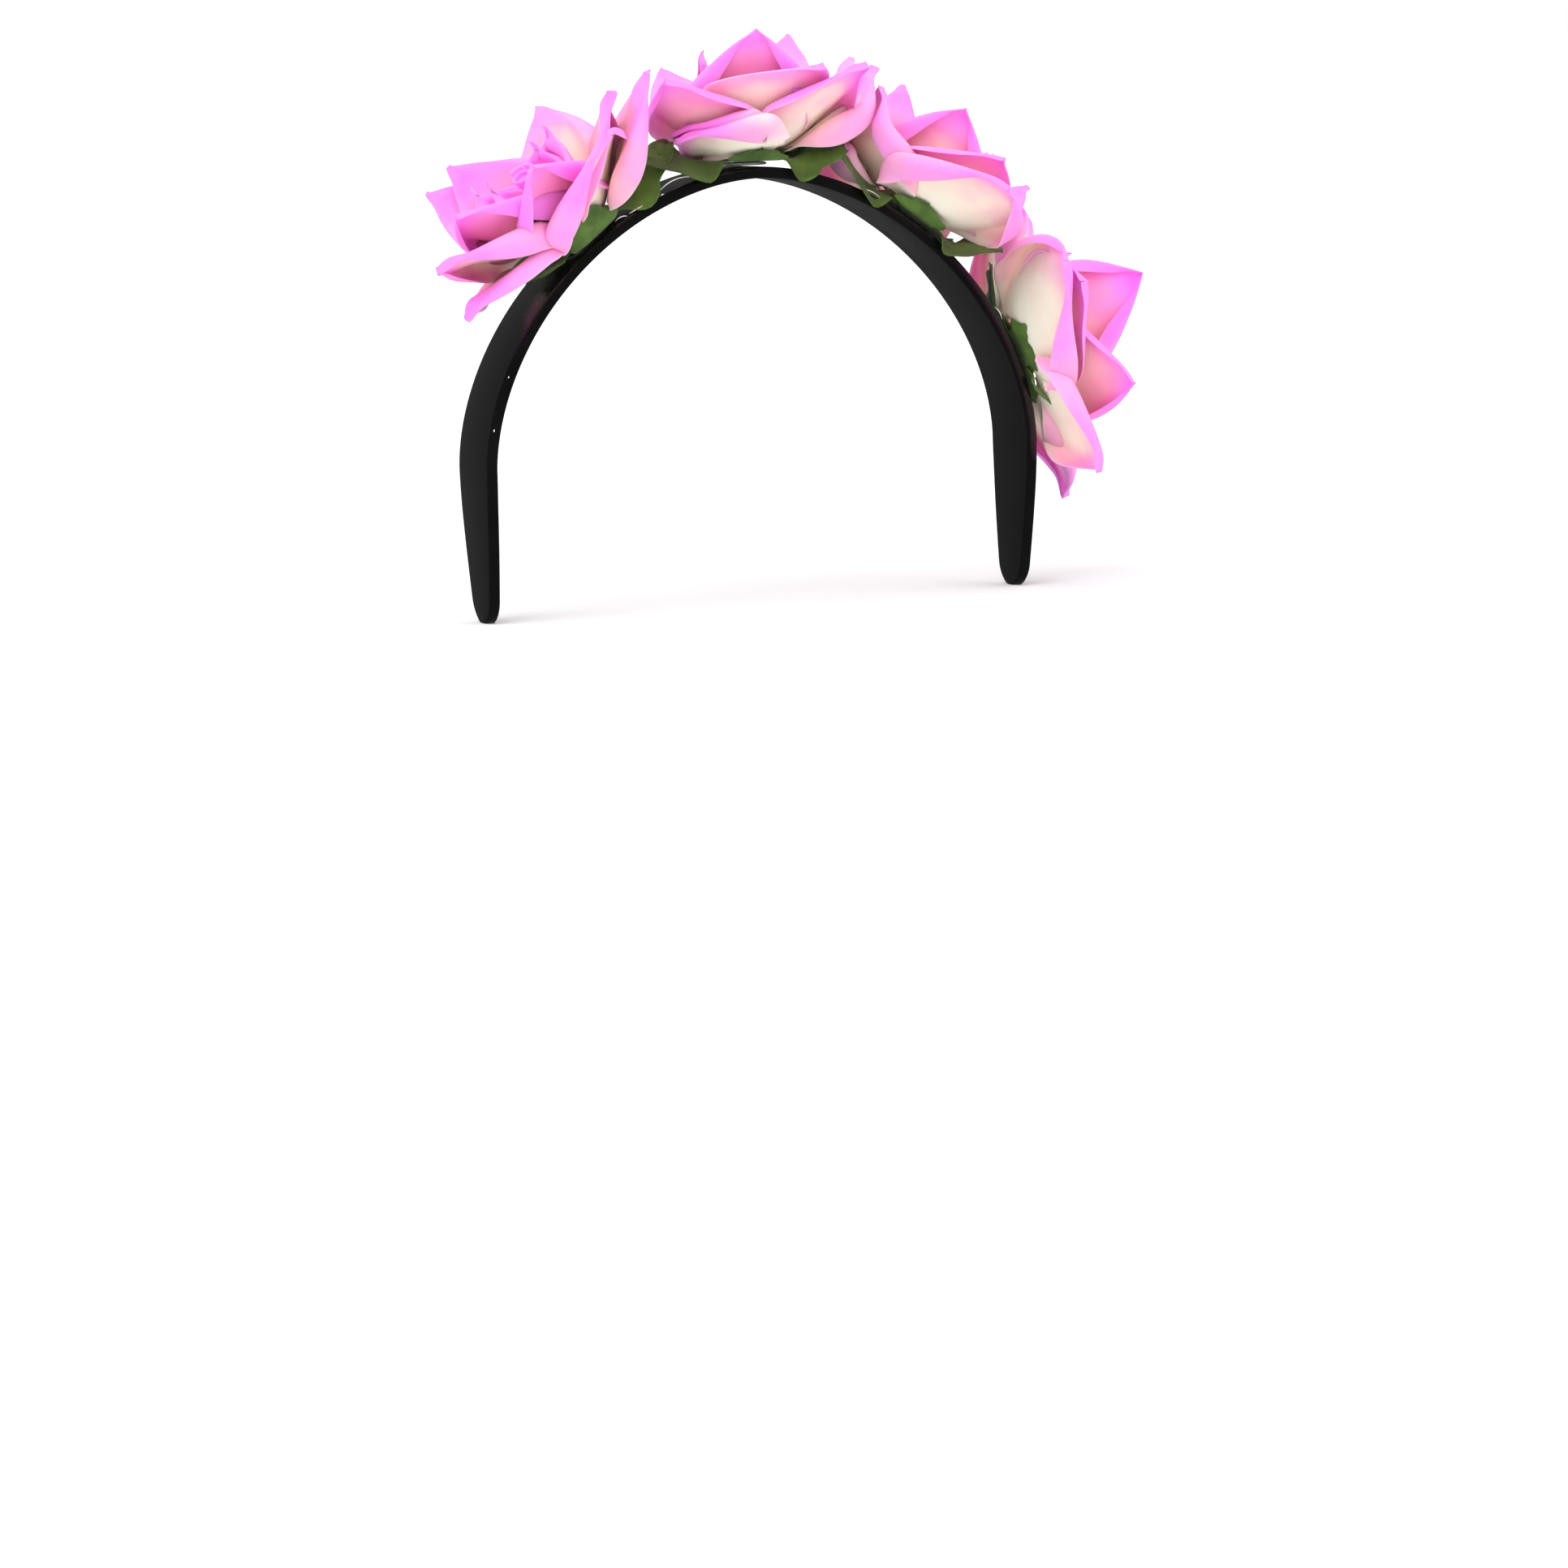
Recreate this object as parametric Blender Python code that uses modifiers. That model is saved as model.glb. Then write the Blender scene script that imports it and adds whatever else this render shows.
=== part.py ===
"""Flower crown: a moulded plastic headband with four foam roses glued along its left side.

Metres, +Z up. The origin is the inside top of the band. +X is the wearer's left, +Y the back of the
head. Each rose is a bud, ten foam petals, a leaf-shaped fabric calyx, a receptacle and a pad of glue.
"""

from dataclasses import dataclass
from math import pi, radians, sqrt, tan

import bmesh
import bpy
import numpy as np
from mathutils import Vector

MM = 0.001

# Headband
BAND_HALF_WIDTH = 78.0 * MM  # outside, at the widest level
BAND_RISE = 75.7 * MM  # outside top above the widest level
BAND_ROUNDNESS = 1.82  # exponent of the arch; 2 would be an ellipse
BAND_WALL = 3.0 * MM
BAND_WIDTH = 23.5 * MM  # front to back, over the arch
LEG_LENGTH = 40.0 * MM  # below the widest level
LEG_PULL_IN = 1.0 * MM  # how far each tip is drawn towards the head
LEG_TIP_WIDTH = 12.5 * MM
LEG_STRAIGHT = 26.0 * MM  # the flat-sided stretch at each tip
BAND_EDGE = 0.9 * MM
ARCH_STEPS = 48
LEG_STEPS = 4
TIP_STEPS = 4

# Roses
FOAM = 0.7 * MM  # petal sheet
FABRIC = 0.5 * MM  # calyx sheet
GAP = 0.3 * MM  # between pieces that touch
GLUE_RADIUS = 6.5 * MM
GLUE_HEIGHT = 0.8 * MM
PEG_RADIUS = 1.6 * MM
INNER_BASE = (3.2 * MM, 9.4 * MM)  # radius and height where the innermost layer leaves the receptacle
OUTER_BASE = (12.6 * MM, 2.9 * MM)  # the same for the outermost layer
INNER_OPENING = 4.0  # degrees from the axis
INWARD_CURL = 20.0  # degrees that the innermost layer closes from base to tip
OUTWARD_CURL = 34.0  # degrees that the outermost layer opens from base to tip
CURL_CENTRE = 0.42
INNER_FLARE = 52.0  # degrees of cup at the base of the innermost layer
OUTER_FLARE = 24.0
FLARE_REACH = 0.15  # share of the petal's length
LEAN_START = 5.0 * MM  # height where a rose begins to lean
LEAN_BLEND = 2.0 * MM
BUD_LAYER = 0.10
BUD_LENGTH = 33.0 * MM
BUD_MOUTH = 0.35  # radius at the tip as a share of the layer's
CALYX_LAYER = 1.13
CALYX_REACH = 17.0 * MM  # beyond the flat middle of the calyx
CALYX_NOTCH = 0.22  # share of the reach left between two lobes
LOBES = 5
NEIGHBOUR_BLEND = 1.3 * MM
NEIGHBOUR_STEP = 9.0 * MM  # extra distance that the innermost layer keeps from a neighbour

# Mesh steps of a petal, a turned piece and a calyx
PETAL_ROWS, PETAL_COLUMNS = 7, 6
PROFILE_STEPS = 40
TURNED_SIDES = 12
CALYX_RINGS, CALYX_SIDES = 5, 30


@dataclass
class Rose:
    """Where a rose sits on the arch, which way it leans, how wide it opens, and its petals."""

    name: str
    arc: float  # along the band from its top, positive to the wearer's left
    lean_along: float  # degrees, towards the wearer's left
    lean_across: float  # degrees, towards the back
    openings: tuple  # degrees of the outermost layer to the left, back, right and front
    neighbours: tuple  # arcs of the roses that press against it
    petals: tuple  # azimuth in degrees, layer from 0 inside to 1 outside, length and width in mm


RIGHT_ARC, TOP_ARC, LEFT_ARC, LOW_LEFT_ARC = (arc * MM for arc in (-50, 0, 48, 96))

ROSES = (
    Rose(
        "right_rose", RIGHT_ARC, -9, -17, (44, 76, 84, 56), (TOP_ARC,),
        (
            (106, 0.30, 33, 30), (117, 0.43, 36, 30), (-146, 0.37, 35, 36), (-97, 0.49, 35, 28),
            (55, 0.63, 38, 34), (-156, 0.59, 38, 32), (-38, 0.66, 36, 34), (-68, 0.76, 37, 40),
            (-28, 0.94, 40, 30), (-161, 0.85, 32, 30),
        ),
    ),
    Rose(
        "top_rose", TOP_ARC, 2, -5, (65, 88, 70, 58), (RIGHT_ARC, LEFT_ARC),
        (
            (46, 0.33, 34, 30), (-108, 0.41, 36, 36), (105, 0.52, 36, 32), (-145, 0.70, 34, 32),
            (-91, 0.60, 31, 42), (10, 0.76, 37, 32), (-60, 0.69, 35, 30), (-128, 0.81, 34, 30),
            (-10, 0.87, 38, 30), (-122, 0.92, 34, 32),
        ),
    ),
    Rose(
        "left_rose", LEFT_ARC, 1, -1, (54, 71, 82, 79), (TOP_ARC, LOW_LEFT_ARC),
        (
            (122, 0.29, 34, 30), (-115, 0.37, 30, 32), (53, 0.44, 38, 34), (124, 0.52, 35, 32),
            (-90, 0.64, 34, 36), (-165, 0.72, 37, 38), (21, 0.59, 35, 34), (-87, 0.82, 38, 46),
            (80, 0.88, 36, 34), (165, 1.00, 34, 32),
        ),
    ),
    Rose(
        "low_left_rose", LOW_LEFT_ARC, -11, -7, (83, 80, 47, 84), (LEFT_ARC,),
        (
            (80, 0.22, 34, 30), (-100, 0.29, 34, 32), (18, 0.36, 38, 30), (129, 0.54, 37, 32),
            (-111, 0.84, 36, 36), (-70, 0.72, 35, 36), (142, 0.78, 40, 32), (-119, 0.95, 38, 46),
            (-53, 1.04, 38, 34), (12, 0.90, 36, 34),
        ),
    ),
)


def clear_scene():
    for obj in list(bpy.data.objects):
        bpy.data.objects.remove(obj, do_unlink=True)


def material(name, colour, roughness):
    """A Principled BSDF of one sRGB colour, given as three values from 0 to 1."""
    made = bpy.data.materials.new(name)
    made.use_nodes = True
    shader = made.node_tree.nodes["Principled BSDF"]
    linear = [c / 12.92 if c <= 0.04045 else ((c + 0.055) / 1.055) ** 2.4 for c in colour]
    shader.inputs["Base Color"].default_value = (*linear, 1.0)
    shader.inputs["Roughness"].default_value = roughness
    return made


def add_object(name, mesh, finish, collection):
    mesh.materials.append(finish)
    mesh.shade_smooth()
    obj = bpy.data.objects.new(name, mesh)
    collection.objects.link(obj)
    return obj


def grid_mesh(name, points, closed_columns=False):
    """A sheet of quads through an array of points, rows by columns by three."""
    rows, columns = points.shape[:2]
    mesh = bpy.data.meshes.new(name)
    faces = []
    for i in range(rows - 1):
        for j in range(columns if closed_columns else columns - 1):
            k = (j + 1) % columns
            faces.append((i * columns + j, i * columns + k, (i + 1) * columns + k, (i + 1) * columns + j))
    mesh.from_pydata(points.reshape(-1, 3).tolist(), [], faces)
    mesh.update()
    return mesh


def thicken(obj, thickness, offset):
    modifier = obj.modifiers.new("Sheet", "SOLIDIFY")
    modifier.thickness = thickness
    modifier.offset = offset
    modifier.use_even_offset = True
    return modifier


class Arch:
    """The band's outer face in the XZ plane: an arch that carries on down into two nearly straight legs."""

    SAMPLES = 2000

    def __init__(self):
        angle = np.linspace(-pi / 2, pi / 2, self.SAMPLES + 1)
        power = 2 / BAND_ROUNDNESS
        x = BAND_HALF_WIDTH * np.sign(np.sin(angle)) * np.abs(np.sin(angle)) ** power
        z = BAND_RISE * np.abs(np.cos(angle)) ** power
        drop = np.linspace(0, LEG_LENGTH, self.SAMPLES // 4)[1:]
        bend_end = LEG_LENGTH - LEG_STRAIGHT
        # The leg bends in like a parabola, then keeps its slope down to the tip.
        steep = LEG_PULL_IN / (bend_end * (2 * LEG_LENGTH - bend_end))
        draw = np.where(drop < bend_end, drop**2, bend_end * (2 * drop - bend_end)) * steep
        x = np.concatenate([-(BAND_HALF_WIDTH - draw)[::-1], x, BAND_HALF_WIDTH - draw])
        z = np.concatenate([-drop[::-1], z, -drop])
        self.x, self.z = x, z - (BAND_RISE - BAND_WALL)
        length = np.concatenate([[0], np.cumsum(np.hypot(np.diff(x), np.diff(z)))])
        self.arc = length - length[-1] / 2
        self.half = self.arc[-1]
        self.leg_start = self.half - length[self.SAMPLES // 4 - 1]

    def point(self, arc):
        return np.array([np.interp(arc, self.arc, self.x), 0.0, np.interp(arc, self.arc, self.z)])

    def tangent(self, arc, step=1.0 * MM):
        along = self.point(arc + step) - self.point(arc - step)
        return along / np.linalg.norm(along)

    def half_width(self, arc):
        """Half the band's width: even over the arch, narrowing down each leg, round at the tip."""
        share = max(0.0, (abs(arc) - self.leg_start) / (self.half - self.leg_start))
        width = BAND_WIDTH + (LEG_TIP_WIDTH - BAND_WIDTH) * share**1.5
        left = (self.half - abs(arc)) / (LEG_TIP_WIDTH / 2)
        return width / 2 * (sqrt(1 - (1 - left) ** 2) if left < 1 else 1.0)


def band_stations(arch):
    """Arcs of the sections: even over the arch, fewer on the legs, closer round the tips."""
    top = np.linspace(-arch.leg_start, arch.leg_start, ARCH_STEPS + 1)
    round_start = arch.half - LEG_TIP_WIDTH / 2
    leg = np.linspace(arch.leg_start, round_start, LEG_STEPS + 1)[1:]
    turn = np.linspace(0, pi / 2, TIP_STEPS + 2)[1:-1]
    tip = round_start + LEG_TIP_WIDTH / 2 * np.sin(turn)
    side = np.concatenate([leg, tip])
    return np.concatenate([-side[::-1], top, side])


def build_headband(arch, finish, collection):
    """The outer face as one sheet along the arch, given its wall inwards, with rounded edges."""
    stations = band_stations(arch)
    across = np.array([1.0, 0.0, -1.0])
    points = np.zeros((len(stations), len(across), 3))
    for row, arc in enumerate(stations):
        points[row] = arch.point(arc)
        points[row, :, 1] = across * arch.half_width(arc)
    obj = add_object("headband", grid_mesh("headband", points), finish, collection)
    thicken(obj, BAND_WALL, -1.0)
    edge = obj.modifiers.new("Edge", "BEVEL")
    edge.width = BAND_EDGE
    edge.segments = 2
    edge.limit_method = "ANGLE"
    edge.angle_limit = radians(50)
    return obj


class Seat:
    """The place of one rose on the band, and the nested layers that its petals follow.

    A layer is a cup around the rose's axis. A deeper layer stands steeper everywhere than the one
    outside it and starts nearer the axis and higher, so that two layers never meet.
    """

    def __init__(self, rose, arch):
        self.rose = rose
        self.along = arch.tangent(rose.arc)
        self.across = np.array([0.0, 1.0, 0.0])
        self.axis = np.cross(self.along, self.across)
        self.origin = arch.point(rose.arc)
        self.planes = []
        for other in rose.neighbours:
            middle = (rose.arc + other) / 2
            side = 1.0 if other > rose.arc else -1.0
            self.planes.append((arch.point(middle), arch.tangent(middle) * side))

    def opening(self, azimuth):
        """Degrees from the axis of the outermost layer, blended between its four sides."""
        left, back, right, front = self.rose.openings
        along, across = np.cos(azimuth), np.sin(azimuth)
        sideways = np.where(along > 0, left, right)
        lengthways = np.where(across > 0, back, front)
        return sideways * along**2 + lengthways * across**2

    def profile(self, layer, azimuth, share, length):
        """Radius and height at a share of a petal's length, found by adding up the layer's slope."""
        steps = np.linspace(0, 1, PROFILE_STEPS + 1)
        tilt = INNER_OPENING + (self.opening(azimuth) - INNER_OPENING) * layer
        curl = -INWARD_CURL + (OUTWARD_CURL + INWARD_CURL) * layer
        flare = INNER_FLARE + (OUTER_FLARE - INNER_FLARE) * layer
        slope = np.radians(
            tilt[..., None] + curl * (steps - CURL_CENTRE) + flare * np.exp(-steps / FLARE_REACH)
        )
        base_radius = INNER_BASE[0] + (OUTER_BASE[0] - INNER_BASE[0]) * layer
        base_height = INNER_BASE[1] + (OUTER_BASE[1] - INNER_BASE[1]) * layer
        radius = base_radius + self.travelled(np.sin(slope), share) * length
        height = base_height + self.travelled(np.cos(slope), share) * length
        return radius, height

    @staticmethod
    def travelled(rate, share):
        """The sum of a rate, by the trapezium rule, from 0 to each share."""
        total = np.cumsum((rate[..., 1:] + rate[..., :-1]) / 2, axis=-1) / PROFILE_STEPS
        total = np.concatenate([np.zeros(total.shape[:-1] + (1,)), total], axis=-1)
        place = np.clip(share * PROFILE_STEPS, 0, PROFILE_STEPS - 1e-6)
        low = place.astype(int)
        before = np.take_along_axis(total, low[..., None], -1)[..., 0]
        after = np.take_along_axis(total, low[..., None] + 1, -1)[..., 0]
        return before + (after - before) * (place - low)

    def place(self, radius, azimuth, height, layer):
        """World points from radius, azimuth and height on the rose, leaning, kept off the neighbours."""
        lean = LEAN_BLEND * np.log1p(np.exp((height - LEAN_START) / LEAN_BLEND))
        along = radius * np.cos(azimuth) + lean * tan(radians(self.rose.lean_along))
        across = radius * np.sin(azimuth) + lean * tan(radians(self.rose.lean_across))
        points = (
            self.origin
            + along[..., None] * self.along
            + across[..., None] * self.across
            + np.asarray(height)[..., None] * self.axis
        )
        for middle, towards in self.planes:
            least = GAP + FOAM + (CALYX_LAYER - layer) * NEIGHBOUR_STEP
            distance = (middle - points) @ towards
            eased = least + NEIGHBOUR_BLEND * np.logaddexp(0, (distance - least) / NEIGHBOUR_BLEND)
            points = points + (distance - eased)[..., None] * towards
        return points


def petal_half_width(share, width):
    """Half a petal's width at a share of its length: a narrow foot, broad shoulders, a pointed tip."""
    foot, shoulder, tip = 0.30, 0.60, 0.08
    low = foot + (1 - foot) * np.sin(pi / 2 * np.clip(share / shoulder, 0, 1))
    above = np.clip((share - shoulder) / (1 - shoulder), 0, 1)
    high = tip + (1 - tip) * (1 - above**1.9) ** 0.8
    return width / 2 * np.where(share < shoulder, low, high)


def build_petal(seat, number, petal, finish, collection):
    """One foam petal: a sheet on its own layer, wrapped round the rose's axis by its width."""
    degrees, layer, length, width = petal
    length, width, centre = length * MM, width * MM, radians(degrees)
    share, side = np.meshgrid(
        np.linspace(0, 1, PETAL_ROWS), np.linspace(-1, 1, PETAL_COLUMNS), indexing="ij"
    )
    radius, _ = seat.profile(layer, np.full(share.shape, centre), share, length)
    azimuth = centre + side * np.minimum(petal_half_width(share, width) / radius, pi * 0.6)
    radius, height = seat.profile(layer, azimuth, share, length)
    points = seat.place(radius, azimuth, height, layer)
    name = f"{seat.rose.name}_petal_{number:02d}"
    obj = add_object(name, grid_mesh(name, points), finish, collection)
    thicken(obj, FOAM, 0.0)
    return obj


def build_turned(seat, name, outline, layer, finish, collection):
    """A piece turned about the rose's axis from an outline of radius and height, closed at both ends."""
    bm = bmesh.new()
    turn = 2 * pi / TURNED_SIDES
    rings = []
    for radius, height in outline:
        if radius == 0:
            azimuth, radii = np.zeros(1), np.zeros(1)
        else:
            azimuth = np.arange(TURNED_SIDES) * turn
            radii = np.full(TURNED_SIDES, radius)
        points = seat.place(radii, azimuth, np.full(len(radii), height), layer)
        rings.append([bm.verts.new(Vector(p)) for p in points])
    for lower, upper in zip(rings, rings[1:]):
        for i in range(TURNED_SIDES):
            k = (i + 1) % TURNED_SIDES
            near = [lower[i % len(lower)], lower[k % len(lower)]]
            corners = near + [upper[k % len(upper)], upper[i % len(upper)]]
            bm.faces.new(list(dict.fromkeys(corners)))
    bmesh.ops.recalc_face_normals(bm, faces=bm.faces)
    mesh = bpy.data.meshes.new(name)
    bm.to_mesh(mesh)
    bm.free()
    return add_object(name, mesh, finish, collection)


def build_bud(seat, finish, collection):
    """The tightly rolled heart of the rose, a closed turned form inside the innermost layer."""
    share = np.linspace(0, 1, 9)
    radius, height = seat.profile(BUD_LAYER, np.full(share.shape, pi / 2), share, BUD_LENGTH)
    radius = radius * (1 - (1 - BUD_MOUTH) * share**2.5)
    foot = (0.0, height[0])
    outline = [foot, *zip(radius, height), (0.0, height[-1] + GAP)]
    return build_turned(seat, f"{seat.rose.name}_bud", outline, 0.0, finish, collection)


def build_receptacle(seat, finish, collection):
    """The plastic cone that the petals are glued round, with a peg down through the calyx."""
    sheet = FOAM / 2 + GAP
    floor = GAP + GLUE_HEIGHT + GAP
    seat_height = floor + FABRIC + GAP
    slope = (INNER_BASE[1] - OUTER_BASE[1]) / (OUTER_BASE[0] - INNER_BASE[0])
    down = sheet * sqrt(1 + slope**2) + GAP
    top = INNER_BASE[1] + (OUTER_BASE[1] - INNER_BASE[1]) * BUD_LAYER - GAP

    def radius_at(height):
        """The cone's radius at a height, clear of every petal's foot by a gap."""
        return INNER_BASE[0] + (INNER_BASE[1] - down - height) / slope

    outline = [
        (0.0, floor),
        (PEG_RADIUS, floor),
        (PEG_RADIUS, seat_height),
        (radius_at(seat_height), seat_height),
        (radius_at(top), top),
        (0.0, top),
    ]
    return build_turned(seat, f"{seat.rose.name}_receptacle", outline, 0.0, finish, collection)


def build_glue(seat, finish, collection):
    """The flattened pad of hot-melt glue between the band and the calyx."""
    outline = [
        (0.0, GAP),
        (GLUE_RADIUS * 0.8, GAP),
        (GLUE_RADIUS, GAP + GLUE_HEIGHT * 0.5),
        (GLUE_RADIUS * 0.8, GAP + GLUE_HEIGHT),
        (0.0, GAP + GLUE_HEIGHT),
    ]
    return build_turned(seat, f"{seat.rose.name}_glue", outline, CALYX_LAYER, finish, collection)


def build_calyx(seat, finish, collection):
    """A five-lobed star of green fabric with a hole for the peg, lying under the petals."""
    azimuth = np.arange(CALYX_SIDES) * 2 * pi / CALYX_SIDES
    lobe = np.abs(np.cos(LOBES / 2 * azimuth)) ** 0.8
    reach = CALYX_REACH * (CALYX_NOTCH + (1 - CALYX_NOTCH) * lobe)
    floor = GAP + GLUE_HEIGHT + GAP + FABRIC / 2
    flat_end = OUTER_BASE[0] - GAP
    even = np.ones(CALYX_SIDES)
    rings = [seat.place((PEG_RADIUS + GAP) * even, azimuth, floor * even, CALYX_LAYER)]
    for ring in range(CALYX_RINGS):
        share = ring / (CALYX_RINGS - 1)
        radius, height = seat.profile(CALYX_LAYER, azimuth, reach / CALYX_REACH * share, CALYX_REACH)
        start_radius, start_height = seat.profile(CALYX_LAYER, azimuth, 0 * even, CALYX_REACH)
        radius = radius - start_radius + flat_end
        height = height - start_height + floor
        rings.append(seat.place(radius, azimuth, height, CALYX_LAYER))
    name = f"{seat.rose.name}_calyx"
    obj = add_object(name, grid_mesh(name, np.array(rings), closed_columns=True), finish, collection)
    thicken(obj, FABRIC, 0.0)
    return obj


def main():
    clear_scene()
    collection = bpy.data.collections.new("flower_crown")
    bpy.context.scene.collection.children.link(collection)
    band_plastic = material("black_abs", (0.03, 0.03, 0.035), 0.25)
    petal_foam = material("pink_foam", (0.96, 0.62, 0.86), 0.75)
    bud_foam = material("deep_pink_foam", (0.94, 0.45, 0.82), 0.75)
    leaf_fabric = material("green_fabric", (0.29, 0.42, 0.17), 0.85)
    green_plastic = material("green_plastic", (0.36, 0.48, 0.26), 0.5)
    glue = material("hot_melt_glue", (0.86, 0.85, 0.80), 0.3)
    arch = Arch()
    build_headband(arch, band_plastic, collection)
    for rose in ROSES:
        seat = Seat(rose, arch)
        build_glue(seat, glue, collection)
        build_receptacle(seat, green_plastic, collection)
        build_calyx(seat, leaf_fabric, collection)
        build_bud(seat, bud_foam, collection)
        for number, petal in enumerate(rose.petals, 1):
            build_petal(seat, number, petal, petal_foam, collection)


main()
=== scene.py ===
from math import cos, pi, radians, sin, tan

import bpy
import numpy as np
from mathutils import Matrix, Vector


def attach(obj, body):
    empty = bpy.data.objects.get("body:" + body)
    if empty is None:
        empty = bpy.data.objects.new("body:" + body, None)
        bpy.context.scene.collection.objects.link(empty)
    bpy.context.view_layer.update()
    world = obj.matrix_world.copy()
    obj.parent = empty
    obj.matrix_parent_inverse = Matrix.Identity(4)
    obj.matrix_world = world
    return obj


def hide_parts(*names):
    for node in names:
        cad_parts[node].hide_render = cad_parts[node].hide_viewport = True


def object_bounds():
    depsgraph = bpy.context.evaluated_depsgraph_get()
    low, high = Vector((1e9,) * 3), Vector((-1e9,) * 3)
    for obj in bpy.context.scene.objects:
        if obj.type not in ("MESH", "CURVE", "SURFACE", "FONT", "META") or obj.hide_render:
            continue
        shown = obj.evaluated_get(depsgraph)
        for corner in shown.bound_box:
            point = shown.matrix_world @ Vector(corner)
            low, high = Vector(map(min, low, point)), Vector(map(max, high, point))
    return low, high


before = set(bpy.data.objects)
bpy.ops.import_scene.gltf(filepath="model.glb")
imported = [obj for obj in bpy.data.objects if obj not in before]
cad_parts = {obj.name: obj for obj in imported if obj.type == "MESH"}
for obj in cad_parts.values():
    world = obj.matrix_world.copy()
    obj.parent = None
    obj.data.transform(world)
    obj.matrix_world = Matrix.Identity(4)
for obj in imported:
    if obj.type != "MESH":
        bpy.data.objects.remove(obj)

MM = 0.001
cad_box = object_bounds()


# Camera: a long portrait lens, off the wearer's right cheek and a little above the brow. It aims at
# the middle of the stand that the crown is usually shown on, so the crown fills the top of the frame.
VIEW_TURN = radians(-22.0)
VIEW_RISE = radians(8.6)
VIEW_ROLL = radians(-1.6)
VIEW_DISTANCE = 1.30
VIEW_AIM = np.array([0.6, -14.4, -159.3]) * MM

backwards = np.array([sin(VIEW_TURN) * cos(VIEW_RISE), -cos(VIEW_TURN) * cos(VIEW_RISE), sin(VIEW_RISE)])
level = np.array([cos(VIEW_TURN), sin(VIEW_TURN), 0.0])
upright = np.cross(backwards, level)
rolled_right = cos(VIEW_ROLL) * level + sin(VIEW_ROLL) * upright
rolled_up = cos(VIEW_ROLL) * upright - sin(VIEW_ROLL) * level
lens = bpy.data.cameras.new("camera")
lens.lens = 112.7
lens.sensor_width = 36.0
lens.clip_start = 0.05
camera = bpy.data.objects.new("camera", lens)
camera.matrix_world = Matrix.Translation(Vector(VIEW_AIM + VIEW_DISTANCE * backwards)) @ Matrix(
    np.column_stack([rolled_right, rolled_up, backwards]).tolist()
).to_4x4()
bpy.context.scene.collection.objects.link(camera)
bpy.context.scene.camera = camera
bpy.context.scene.view_settings.view_transform = "Standard"


# Light: a white tent lit from outside, brighter from above and from the viewer's left.
def add_softbox(name, turn, rise, spread, strength):
    """A very wide sun, as the lit side of a tent, at a turn round the object and a rise above the floor."""
    light = bpy.data.lights.new(name, "SUN")
    light.angle = radians(spread)
    light.energy = strength
    obj = bpy.data.objects.new(name, light)
    turn, rise = radians(turn), radians(rise)
    towards = Vector((sin(turn) * cos(rise), -cos(turn) * cos(rise), sin(rise)))
    obj.visible_glossy = False
    obj.matrix_world = towards.to_track_quat("Z", "Y").to_matrix().to_4x4()
    bpy.context.scene.collection.objects.link(obj)


add_softbox("tent_top_left", -60, 50, 60, 1.5)
add_softbox("tent_front_right", 25, 25, 80, 1.0)


# Tent: white cloth all round, with black flags that keep its glare off polished plastic, and a pale
# sweep of card for a floor at the height of the leg tips.
def hex_colour(code, alpha=1.0):
    """Linear RGBA of an sRGB hex code: below 0.04045 a share of 12.92, above it the 2.4 power."""
    parts = [int(code[i : i + 2], 16) / 255 for i in (1, 3, 5)]
    return (*(c / 12.92 if c <= 0.04045 else ((c + 0.055) / 1.055) ** 2.4 for c in parts), alpha)


def add_node(tree, kind, inputs=None, stops=None, **settings):
    """A node of that kind with its settings.

    Inputs are values or other nodes' outputs, and stops are a colour ramp's places and hex codes.
    """
    made = tree.nodes.new(kind)
    for key, value in settings.items():
        setattr(made, key, value)
    for key, value in (inputs or {}).items():
        if isinstance(value, bpy.types.NodeSocket):
            tree.links.new(value, made.inputs[key])
        else:
            made.inputs[key].default_value = value
    for index, (place, code) in enumerate(stops or ()):
        points = made.color_ramp.elements
        point = points[index] if index < len(points) else points.new(place)
        point.position = place
        point.color = hex_colour(code)
    return made


def start_material(name):
    """An empty node material and its tree."""
    made = bpy.data.materials.new(name)
    made.use_nodes = True
    made.node_tree.nodes.clear()
    return made, made.node_tree


def finish_material(tree, **inputs):
    """A Principled shader with those inputs, linked to the material's output."""
    names = {key.replace("_", " ").title(): value for key, value in inputs.items()}
    names = {key.replace("Ior", "IOR"): value for key, value in names.items()}
    shader = add_node(tree, "ShaderNodeBsdfPrincipled", names)
    add_node(tree, "ShaderNodeOutputMaterial", {"Surface": shader.outputs[0]})


world = bpy.data.worlds.new("tent")
world.use_nodes = True
world.node_tree.nodes.clear()
seen = add_node(world.node_tree, "ShaderNodeLightPath")
flagged = add_node(
    world.node_tree, "ShaderNodeMapRange",
    {"Value": seen.outputs["Is Glossy Ray"], "To Min": 1.0, "To Max": 0.12},
)
glow = add_node(
    world.node_tree, "ShaderNodeMapRange",
    {"Value": seen.outputs["Is Camera Ray"], "To Min": flagged.outputs[0], "To Max": 1.0},
)
cloth_light = add_node(
    world.node_tree, "ShaderNodeBackground", {"Color": (1.0, 1.0, 1.0, 1.0), "Strength": glow.outputs[0]}
)
add_node(world.node_tree, "ShaderNodeOutputWorld", {"Surface": cloth_light.outputs[0]})
bpy.context.scene.world = world

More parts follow.
